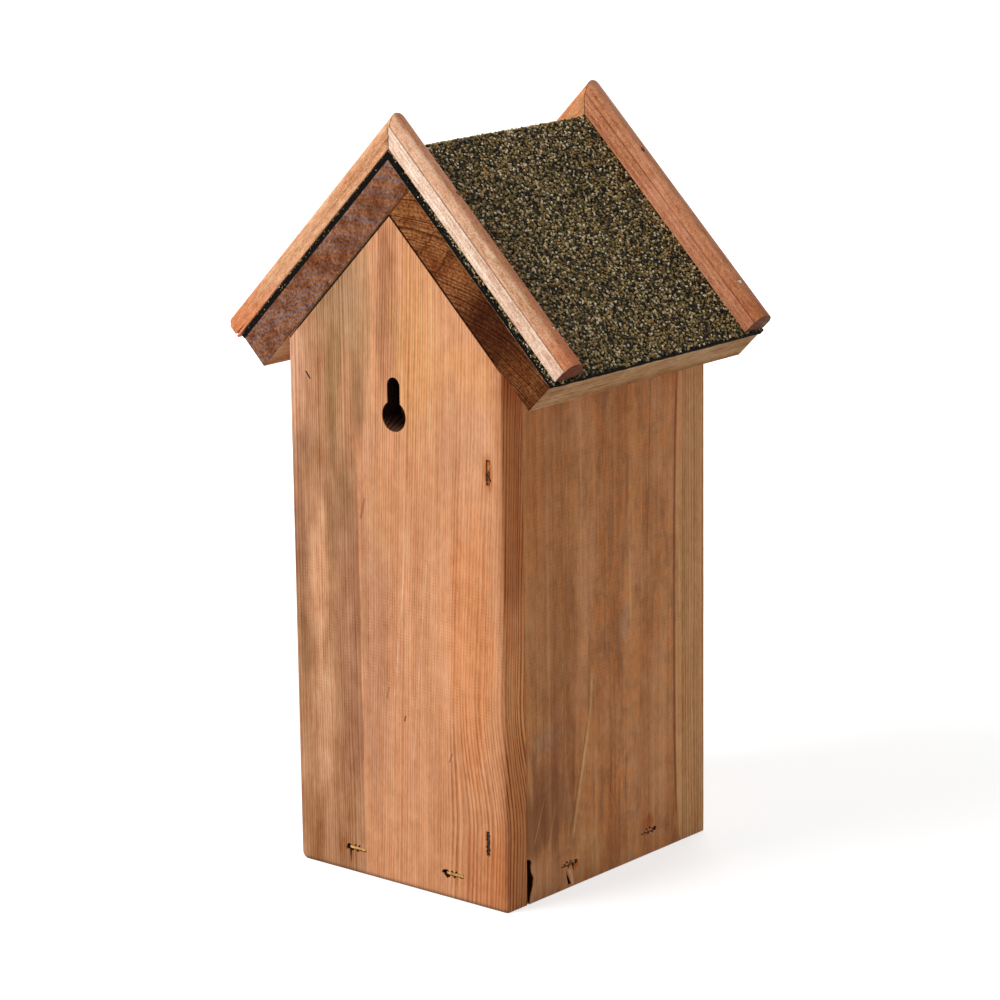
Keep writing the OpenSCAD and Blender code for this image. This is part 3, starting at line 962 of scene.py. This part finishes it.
def back_wood():
    wood = Wood("back_wood", UPRIGHT, (MID - 107, BACK_FACE - 46), 1.42,
                ((234, 166, 120), (224, 156, 110)), seed=1, shift=back_shift)
    # The third of the board towards +X is a browner strip of sapwood with a sharp edge.
    edge = wood.ragged * 1.6 + 24.5
    soft = wood.range(wood.z, 200, 235, 0.7, 13)
    strip = wood.range(wood.across, edge - soft, edge + soft)
    wood.blend(strip * 0.95, (191, 136, 96))
    for row in BACK_PATCHES:
        wood.patch(*row)
    band = wood.range(wood.z, 30, 60) * wood.range(wood.z, 215, 165)
    wood.blend(band * wood.range(wood.across, 42.5, 36) * strip * 0.75, (176, 120, 86))
    for row in BACK_LINES:
        wood.line(*row)
    for crown in high_staples():
        wood.patch((196, 108, 48), (crown.x - MID, crown.z), (2.4, 8.0), 0.75, softness=0.7)
    wood.blend(wood.range(wood.across, -61, -66, 0, 0.6), (186, 118, 72))
    # Painted contact shadow: a dark band along the foot of the board.
    wood.blend(wood.range(wood.z, 2.5, 0.2, 0, 0.7), (96, 62, 42))
    sides = wood.facing(-X) | wood.facing(X)
    edge_tint = wood.ramp(wood.linear(wood.z, 0, EAVE), EDGE_TINTS, "EASE")
    wood.colour = wood.mix(sides, wood.colour, edge_tint)
    # The rings stand out on the edges, in the brown strip and round the keyhole.
    top = wood.range(wood.z, 195, 235) * wood.range(wood.across, -26, -8)
    knot = wood.range(wood.across, -20, -40) * wood.range(wood.z, 120, 70)
    wood.ring_tone(0.44, 0.25, top * 0.35 + strip * 0.4 + knot * 0.7 + sides * 1.8 + 1.0)
    wood.fibres(0.13, 0.10, 0.09, 2.8)
    for streaks, amount in ((wood.grain(2.6, 60, 3), 0.14), (wood.grain(8, 16, 3), 0.16)):
        wood.tone += wood.linear(streaks, 0.3, 0.7, -amount, amount) * strip
    where = wood.range(wood.z, 60, 95) * wood.range(wood.z, 185, 150)
    wood.chatter(1.65, 0.05, where * wood.range(wood.grain(9, 12, 2), 0.40, 0.60))
    # Painted shade inside the keyhole, the staple slots, the crack and the open joints under the roof.
    hole = painted_shade_inside(wood, BACK_FACE - wood.y, WALL_T, wood.range(abs(wood.across), 64, 62))
    hole = hole - rust_inside(wood, hole)
    return wood.finish(wood.ends(), hole, keyhole_floor(wood, hole))


def front_wood():
    wood = Wood("front_wood", UPRIGHT, (MID - 30, FRONT_FACE + 130), 1.9,
                ((234, 180, 124), (224, 166, 114)), seed=2)
    wood.patch((206, 150, 104), (30, 120), (14, 120), 0.5)
    wood.patch((238, 172, 120), (-20, 180), (16, 110), 0.5)
    sides = wood.facing(-X) | wood.facing(X)
    wood.blend(sides * 0.8, (239, 173, 116))
    wood.ring_tone(0.42, boost=sides + 1.0)
    wood.fibres(0.13, 0.14)
    # Painted shade inside the entrance and the staple slots.
    clear = wood.range(abs(wood.across), 64, 62)
    return wood.finish(wood.ends(), painted_shade_inside(wood, wood.y - FRONT_FACE, 4, clear))


STRIP_BOW = (0, 136.5), (110, 132.5), (EAVE, 137.0)     # height, and distance from the back
# As of the back wall, with across counted from the back.
SIDE_PATCHES = (
    ((206, 160, 128), (33, 80), (12, 6), 0.4), ((206, 164, 136), (92, 126), (5, 8), 0.4),
    ((170, 112, 70), (27, 44), (22, 22), 0.85), ((150, 94, 56), (22, 38), (12, 15), 0.5),
    ((236, 172, 112), (62, 14), (11, 11), 0.7), ((200, 124, 74), (84, 14), (9, 11), 0.5),
    ((228, 162, 112), (28, 9), (24, 12), 0.6), ((240, 150, 92), (134, 228), (4, 36), 0.6),
    ((238, 168, 112), (118, 60), (16, 44), 0.45), ((180, 118, 76), (40, 105), (12, 50), 0.35),
    ((232, 146, 82), (24, 200), (9, 34), 0.5), ((234, 152, 90), (105, 112), (12, 14), 0.4),
    ((206, 104, 48), (110, 17), (4, 4), 0.7))
PALE, DARK = (246, 188, 128), (132, 80, 52)
SIDE_LINES = (
    (((60, 24), (170, 24.5)), 1.2, PALE, 0.4), (((62, 33), (175, 33)), 1.0, PALE, 0.3),
    (((70, 43), (150, 43.5)), 1.1, PALE, 0.4), (((165, 48), (250, 47)), 1.1, PALE, 0.35),
    (((120, 97), (165, 96)), 1.6, PALE, 0.45), (((20, 83), (105, 81.5)), 1.0, PALE, 0.35),
    (((28, 20), (52, 29)), 1.2, PALE, 0.4), (((22, 31), (46, 37)), 1.0, PALE, 0.35),
    (((38, 92), (60, 93)), 1.0, DARK, 0.5), (((150, 110), (262, 114)), 0.9, DARK, 0.5),
    (((4, 136), (110, 132), (262, 136.5)), 2.4, (150, 92, 58), 0.8),
    # The long splinter: pale torn wood with a painted highlight, and beside it a dark line of painted
    # shadow.
    (((20, 49), (62, 59), (84, 64), (112, 66.5)), 2.3, (250, 194, 128), 0.85),
    (((24, 47.2), (62, 57.2), (84, 62.5)), 0.9, DARK, 0.6),
    (((0.5, 50.2), (10, 47.2)), 3.4, (255, 204, 156), 0.95))


def side_wood(side):
    wood = Wood("side_wood_" + SIDE_NAME[side], UPRIGHT, (side * 190, 5), 4.2,
                ((238, 161, 101), (227, 155, 101)), seed=3 + side)
    wood.across = BACK_FACE - wood.y
    # Rubbed patches, orange and grey, across the board, which is duller towards the back.
    rubbed = wood.grain(13, 10, 3, 0.6)
    wood.blend(wood.range(rubbed, 0.49, 0.62, 0, 0.55), (246, 158, 94))
    wood.blend(wood.range(rubbed, 0.45, 0.34, 0, 0.5), (198, 134, 90))
    wood.blend(wood.range(wood.grain(5, 34, 3), 0.48, 0.36, 0, 0.55), (188, 130, 90))
    wood.blend(wood.range(wood.grain(22, 40, 2), 0.52, 0.62, 0, 0.55), (242, 170, 118))
    wood.blend(wood.range(wood.across, 75, 30, 0, 0.35), (196, 130, 80))
    # The front part of the board is a browner strip behind a bowed line.
    bow = wood.curve(wood.z, STRIP_BOW, STRIP_BOW[0][0], STRIP_BOW[-1][0])
    strip = wood.range(wood.ragged * 1.2 + wood.across - bow, 0, 1.6)
    wood.blend(strip * 0.9, (246, 181, 119))
    for row in SIDE_PATCHES:
        wood.patch(*row)
    for row in SIDE_LINES:
        wood.line(*row)
    wood.patch((206, 104, 36), (51.5, 11), (2.6, 2.2), 0.8)
    wood.ring_tone(0.16, boost=strip * 3.5 + 1.0)
    wood.fibres(0.13, 0.12, 0.09, 1.8)
    wood.vary(wood.grain(14, 260, 1), 0.10)
    wood.tone += wood.linear(wood.grain(2.8, 150, 2), 0.35, 0.65, -0.2, 0.2) * strip
    wood.vary(wood.noise(wood.seeded, 1.1, 3, 0.65), 0.08)
    wood.chatter(1.9, 0.03, wood.range(wood.z, 60, 110))
    # Painted shade inside the staple slots, and on the left wall in the cracks and the chip.
    face = BACK_HI.x if side == RIGHT else BACK_LO.x
    hole = painted_shade_inside(wood, abs(wood.x - face / MM), 17, wood.range(wood.z, 260, 255))
    return wood.finish(wood.ends(), hole)


def roof_wood(side):
    """The ends of the roof boards face front and back, rough and dark."""
    pith = {RIGHT: (MID + 12, -165), LEFT: (MID - 4, -152)}[side]
    wood = Wood("roof_wood_" + SIDE_NAME[side], LEVEL, pith, {RIGHT: 2.7, LEFT: 1.7}[side],
                ((224, 178, 128), (212, 162, 116)), seed=6 + side, wander=1.3)
    wood.ring_tone(0.3)
    wood.fibres(0.28, 0.20, 0.16)
    smear = wood.noise(wood.seeded, 0.10, 3, 0.6)
    if side == RIGHT:
        facing, end = wood.ends((144, 89, 55), (114, 95, 97), 0.8)
        scratch = wood.range(wood.noise(wood.seeded, 0.9, 4, 0.8), 0.60, 0.70, 0, 0.4)
        tone = wood.range(smear, 0.40, 0.64, 0.22, -0.42) + scratch
        return wood.finish((facing, wood.toned(end, tone)), relief=0.0003, shine=0.08)
    facing, end = wood.ends((154, 93, 51), (66, 36, 19), 0.8)
    points = cad_points("roof_board_left")
    start = ((RIDGE_X - points[:, 0] + BOARDS_RIDGE_H - points[:, 2]) * COS).min() / MM
    drop = BOARDS_RIDGE_H / MM - wood.parts(wood.place)[2] / MM
    down = (RIDGE_X / MM - wood.x + drop) * COS
    # Painted shade: a dark line on the butt board's end along its joint with the lap board.
    painted_joint_shade = wood.range(down, start + 1.5, start + 0.7, 0, 0.9)
    down += wood.ragged * 6
    shade = wood.range(down, 66, 90) * wood.range(down, 118, 106, 0.5, 1) | painted_joint_shade
    for place, width in ((43, 3.6), (56, 3.2)):
        shade = shade | wood.range(abs(down - place), width / 2, 0.3, 0, 0.7)
    end = wood.vector_math("MULTIPLY", end, wood.mix(shade, (1, 1, 1, 1), (0.29, 0.21, 0.15, 1)))
    end = wood.toned(end, wood.range(smear, 0.38, 0.62, 0.2, -0.3))
    return wood.finish((facing, end), relief=0.0003, shine=0.04)


# Of each batten: its outer side, the crown beside the quirk, the crown's far half, its lower end.
FOOT_SHARE = {LEFT: 0.15, RIGHT: 0.8}                   # of the lower end's tint on the outer side
BATTEN_COLOURS = {
    # The left back batten's outer side is near white: a painted highlight over its pale pink wood.
    (LEFT, "back"): ((252, 218, 192), (238, 188, 152), (214, 142, 100), (216, 126, 80)),
    (RIGHT, "back"): ((229, 169, 126), (230, 172, 128), (228, 150, 104), (224, 122, 70)),
    (LEFT, "front"): ((216, 146, 108), (212, 142, 102), (210, 142, 102), (190, 114, 72)),
    (RIGHT, "front"): ((232, 164, 114), (222, 146, 96), (214, 136, 88), (206, 124, 76)),
}


def batten_wood(side, end):
    outer, crown, far, foot = BATTEN_COLOURS[side, end]
    wood = Wood(f"batten_wood_{end}_{SIDE_NAME[side]}", sloping(side), (-40, 30 + 9 * side), 2.6,
                (crown, crown), seed=9 + 2 * side + len(end))
    low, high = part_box(f"batten_{end}_{SIDE_NAME[side]}")
    inward = high.y / MM - wood.y
    height = wood.parts(wood.place)[2]
    wood.blend(wood.range(inward, 3.5, 6.5), far)
    wood.blend(wood.range(inward, 1.1, 0.6), outer)
    wood.blend(wood.range(wood.grain(5, 26, 3), 0.42, 0.62, 0, 0.2), foot)
    at_foot = wood.range(height, low.z + 34 * MM, low.z + 8 * MM, 0.0, 0.75)
    wood.blend(at_foot * wood.range(inward, 0.6, 1.2, FOOT_SHARE[side], 1.0), foot)
    # Painted shade: a dark line along the quirk, in patches.
    stained = wood.range(wood.grain(6, 12, 3), 0.42, 0.56, 0.25, 0.8)
    wood.blend(wood.range(abs(inward - 0.8), 0.4, 0.15) * stained, (112, 64, 40))
    wood.ring_tone(0.26)
    wood.fibres(0.12, 0.24, 0.10, 2.4, 0.28)
    return wood.finish(wood.ends((132, 70, 38), (74, 38, 20), 0.7), rough=0.55, shine=0.08)


# -------- roof boards
def make_roof_board(side):
    node = "roof_board_" + SIDE_NAME[side]
    bm = hull_of(node)
    ease(bm, BOARD_ROUND)
    keep_board(node + "_wood", bm, roof_wood(side), "roof_wood", node, 0.15, 10, 6 + side)


# -------- battens
BATTEN_STEPS = 36
MITRE_GAP, CORNER = 0.12 * MM, 0.35 * MM        # between two battens, and of their worn edges


def batten_section(width, height):
    """The batten's outline as (distance in from its back side, height on the felt)."""
    r1 = CROWN_IN - QUIRK_W
    run, drop = width - CROWN_IN, height - BATTEN_LOW_H
    r2 = (run * run + drop * drop) / (2 * drop)
    last = asin(run / r2)
    bead = [(CROWN_IN - r1 * c, height - r1 + r1 * s) for c, s in arc(0, pi / 2, 10)]
    bead += [(CROWN_IN + r2 * s, height - r2 + r2 * c) for c, s in arc(0, last, 10)[1:]]
    return [(width, CORNER), (width - CORNER, 0), (CORNER, 0), (0, CORNER), (0, BATTEN_FLAT_H - CORNER),
            (CORNER, BATTEN_FLAT_H), (QUIRK_W * 0.55, BATTEN_FLAT_H),
            (QUIRK_W * 0.8, BATTEN_FLAT_H - QUIRK_DEPTH)] + bead


def make_batten(side, end):
    node = f"batten_{end}_{SIDE_NAME[side]}"
    down, out = slope_axes(side)
    low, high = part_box(node)
    length = reach(node, RIDGE, down)
    section = batten_section(high.y - low.y, reach(node, RIDGE, out))
    bm = bmesh.new()
    rings = []
    for i in range(BATTEN_STEPS + 1):
        rings.append([])
        for into, up in section:
            start = MITRE_GAP - up * TAN
            at = start + (length - start) * i / BATTEN_STEPS
            rings[-1].append(bm.verts.new(RIDGE + down * at + out * up + Y * (high.y - into)))
    caps = skin(bm, rings)
    bmesh.ops.recalc_face_normals(bm, faces=bm.faces)
    ease(bm, CORNER, lambda e: any(f in caps for f in e.link_faces), 2)
    weather(bm, 0.1 * MM, 9 * MM, 20 + side + len(end))
    pits = bmesh.new()
    for top, axis in pin_heads(f"pins_{end}_{SIDE_NAME[side]}"):
        hole = torn_hole(Y, down, 2 * PIN_HOLE_R, 2 * PIN_HOLE_R, top.z * 90)
        add_pit(pits, top, hole, -axis, 0.9 * MM, 0.95)
    if (side, end) == (RIGHT, "back"):
        foot = RIDGE + down * (length + 0.2 * MM) + out * 1.7 * MM + Y * high.y
        add_pit(pits, foot, crack(-down * 11 * MM, out, 1.3 * MM), -Y, 3 * MM)
    cut(bm, pits)
    keep(new_object(node + "_wood", bm, TURNED_SMOOTH, batten_wood(side, end)), "batten_wood", node)


# -------- felt
class Felt:
    """The felt's upper surface on one slope, from the fold at the ridge to the drooping eave."""

    def __init__(self, side):
        self.side = side
        self.down, self.out = slope_axes(side)
        self.length = reach("roof_felt", RIDGE, self.down)
        self.board_end = reach("roof_board_" + SIDE_NAME[side], RIDGE, self.down)
        self.half_fold = FOLD_R * pi / 4
        self.granule = FELT_T - SHEET_T[side]

    def surface(self, s, y, below):
        """A point below the surface at a distance s from the ridge, and the way out of it."""
        centre = RIDGE - Z * FOLD_R * sqrt(2)
        if s < self.half_fold:
            a = s / FOLD_R
            out = Vector((self.side * sin(a), 0, cos(a)))
            point = centre + out * FOLD_R
        else:
            out = self.out
            point = centre + out * FOLD_R + self.down * (s - self.half_fold)
        past = max(0.0, s + (FOLD_R - self.half_fold) - self.board_end + 1.5 * MM)
        toward_front = 0.5 - 0.5 * y / BACK_HI.y
        uneven = UNEVEN_DROOP * wave(y * 60, self.side, 0)
        droop = past * past * (DROOP + FRONT_DROOP * toward_front + uneven)
        swell = SWELL * wave(s * 70, y * 70, self.side * 5)
        point = point - out * (below + droop * (1 if below < SHEET_T[self.side] else 0.85)) + out * swell
        return point + Y * y, out

    def across(self, y, first, below, lip):
        """Points under the surface from near the ridge to the eave's edge, where lip is the depth."""
        steps = [self.end(y) * k / FELT_COLUMNS for k in range(first, FELT_COLUMNS + 1)]
        return [self.surface(s, y, below)[0] for s in steps] + [self.surface(self.end(y) + LIP, y, lip)[0]]

    def end(self, y):
        """Where the surface's cut edge is: ragged along the eave."""
        torn = wave(y * 130, self.side * 3, 1) + wave(y * 500, 2, self.side)
        return self.length - (FOLD_R - self.half_fold) - 0.5 * MM - 0.3 * MM * (1 + torn)


FELT_T = 3.5 * MM               # thickness of the felt with its granules
SHEET_T = {LEFT: 3.1 * MM, RIGHT: 2.7 * MM}             # and without them
FOLD_R = 1.8 * MM
DROOP, FRONT_DROOP, UNEVEN_DROOP = 20, 30, 20           # metres down by square metres past the board
SWELL = 0.12 * MM               # height of the felt's slow waves
LIP = 0.35 * MM                 # how far the cut edge of the eave bulges
FELT_EDGE = 0.35 * MM           # how far the felt's cut edges lie inside the roof's ends
GRAIN_STEP = 1.28 * MM
FELT_ROWS, FELT_COLUMNS = 56, 44


def make_felt_sheet(slopes):
    """The sheet itself, as one folded strip with thickness, from the left and the right slope."""
    bm = bmesh.new()
    y_low, y_high = FELT_LO.y + FELT_EDGE, FELT_HI.y - FELT_EDGE
    rings = []
    for i in range(FELT_ROWS + 1):
        y = y_low + (y_high - y_low) * i / FELT_ROWS
        tops = [felt.across(y, 0, felt.granule, felt.granule + 0.5 * MM) for felt in slopes]
        unders = [felt.across(y, 3, FELT_T, FELT_T - 0.3 * MM) for felt in slopes]
        fold = Vector((RIDGE_X, y, BOARDS_RIDGE_H))
        ring = tops[0][::-1] + tops[1][1:] + unders[1][::-1] + [fold] + unders[0]
        rings.append([bm.verts.new(p) for p in ring])
    bmesh.ops.triangulate(bm, faces=skin(bm, rings))
    keep(new_object("felt_sheet", bm, FELT_SMOOTH, bitumen()), "felt", "roof_felt")


class Gravel:
    """Collects the corners, faces and shades of many small stones."""

    def __init__(self, rng):
        self.rng = rng
        self.verts, self.faces, self.tones = [], [], []

    def stone(self, point, out, u, shade, wide, long, high):
        """A stone sunk in at a point: four corners round its foot and a blunt top of two."""
        v = out.cross(u)
        lean, lean2, cut_back = self.rng.random(3)
        base = point - out * 0.05 * MM
        tip = point + out * high + u * (lean - 0.5) * long * 0.7 + v * (lean2 - 0.5) * wide * 0.7
        first = len(self.verts)
        corners = [base + u * long, base + v * wide, base - u * long * 0.8, base - v * wide * 0.9,
                   tip - u * long * 0.3 * cut_back, tip + u * long * 0.3]
        for corner in corners:
            corner.y = min(max(corner.y, FELT_LO.y), FELT_HI.y)
        self.verts += corners
        shape = ((0, 1, 5), (1, 4, 5), (1, 2, 4), (2, 3, 4), (3, 5, 4), (3, 0, 5), (3, 2, 1, 0))
        self.faces += [tuple(first + i for i in face) for face in shape]
        self.tones += [shade] * len(corners)

    def make(self, name):
        mesh = bpy.data.meshes.new(name)
        mesh.from_pydata(self.verts, [], self.faces)
        mesh.update()
        tone = mesh.attributes.new("tone", "FLOAT", "POINT")
        tone.data.foreach_set("value", np.array(self.tones, np.float32))
        mesh.materials.append(granule_stone())
        piece = bpy.data.objects.new(name, mesh)
        link(piece)
        keep(piece, "felt")


def make_granules(felt):
    """Crushed stone pressed into the felt, each grain of its own size and shade."""
    rng = np.random.default_rng(SEED + felt.side)
    gravel = Gravel(rng)
    y_low, y_high = FELT_LO.y + FELT_EDGE, FELT_HI.y - FELT_EDGE
    for row in range(int((y_high - y_low) / GRAIN_STEP)):
        for column in range(int(felt.length / GRAIN_STEP) + 1):
            jitter = rng.uniform(-0.45, 0.45, 2)
            shade, wide, long, tall, turn = rng.random(5)
            y = y_low + (row + 0.5 + jitter[0]) * GRAIN_STEP
            s = (column + 0.5 + jitter[1]) * GRAIN_STEP
            if s > felt.end(y):
                continue
            point, out = felt.surface(s, y, felt.granule)
            u = Y * cos(turn * tau) + felt.down * sin(turn * tau)
            u = (u - out * u.dot(out)).normalized()
            gravel.stone(point, out, u, shade, (0.72 + 0.36 * wide) * MM,
                         (0.92 + 0.6 * long ** 2) * MM, (0.28 + 0.5 * tall) * MM)
    for y, out in ((y_low, -Y), (y_high, Y)):
        for _ in range(int(felt.length * EDGE_GRAINS[felt.side])):
            along, deep, shade, wide, long = rng.random(5)
            s = felt.half_fold + (felt.end(y) - felt.half_fold) * along ** 0.45
            point = felt.surface(s, y, felt.granule + 1.8 * MM * deep * deep)[0]
            gravel.stone(point - out * 0.12 * MM, out, felt.down, shade, (0.45 + 0.3 * wide) * MM,
                         (0.55 + 0.5 * long) * MM, 0.3 * MM)
    gravel.make("felt_granules_" + SIDE_NAME[felt.side])


EDGE_GRAINS = {LEFT: 1500, RIGHT: 300}                  # stones along a metre of a cut edge


def bitumen():
    g = Material("bitumen")
    speck = g.noise(g.scaled(g.place, 1300, 1300, 1300), detail=2)
    stops = [(0.35, (12, 12, 12)), (0.6, (20, 19, 17)), (0.7, (44, 38, 30))]
    g.surface(g.ramp(speck, stops), 0.75, 0.04)
    g.bump(speck, 0.0002)
    return g.material


def granule_stone():
    if "granule_stone" in bpy.data.materials:
        return bpy.data.materials["granule_stone"]
    g = Material("granule_stone")
    tone = g.add("Attribute", output="Fac", attribute_name="tone")
    stops = [(0, (24, 22, 20)), (0.17, (58, 50, 34)), (0.30, (98, 84, 52)), (0.44, (132, 112, 66)),
             (0.57, (156, 130, 78)), (0.70, (184, 156, 100)), (0.82, (218, 192, 142)),
             (0.91, (194, 140, 86)), (0.93, (248, 232, 196))]
    mottle = g.noise(g.scaled(g.place, 1900, 1900, 1900), detail=1)
    colour = g.mix(g.range(mottle, 0.35, 0.65, 0, 0.25), g.ramp(tone, stops, "CONSTANT"), srgb(24, 22, 20))
    g.surface(colour, 0.5, 0.15)
    return g.material


# -------- the whole
bpy.context.scene.view_settings.view_transform = "Standard"
make_camera()
make_world()
make_lamps()
make_floor()
make_back_wall()
make_front_wall()
make_floor_board()
for each_side in (LEFT, RIGHT):
    make_side_wall(each_side)
    make_roof_board(each_side)
    for each_end in ("back", "front"):
        make_batten(each_side, each_end)
felt_slopes = [Felt(each_side) for each_side in (LEFT, RIGHT)]
make_felt_sheet(felt_slopes)
for each_slope in felt_slopes:
    make_granules(each_slope)
make_staples()
make_pins()
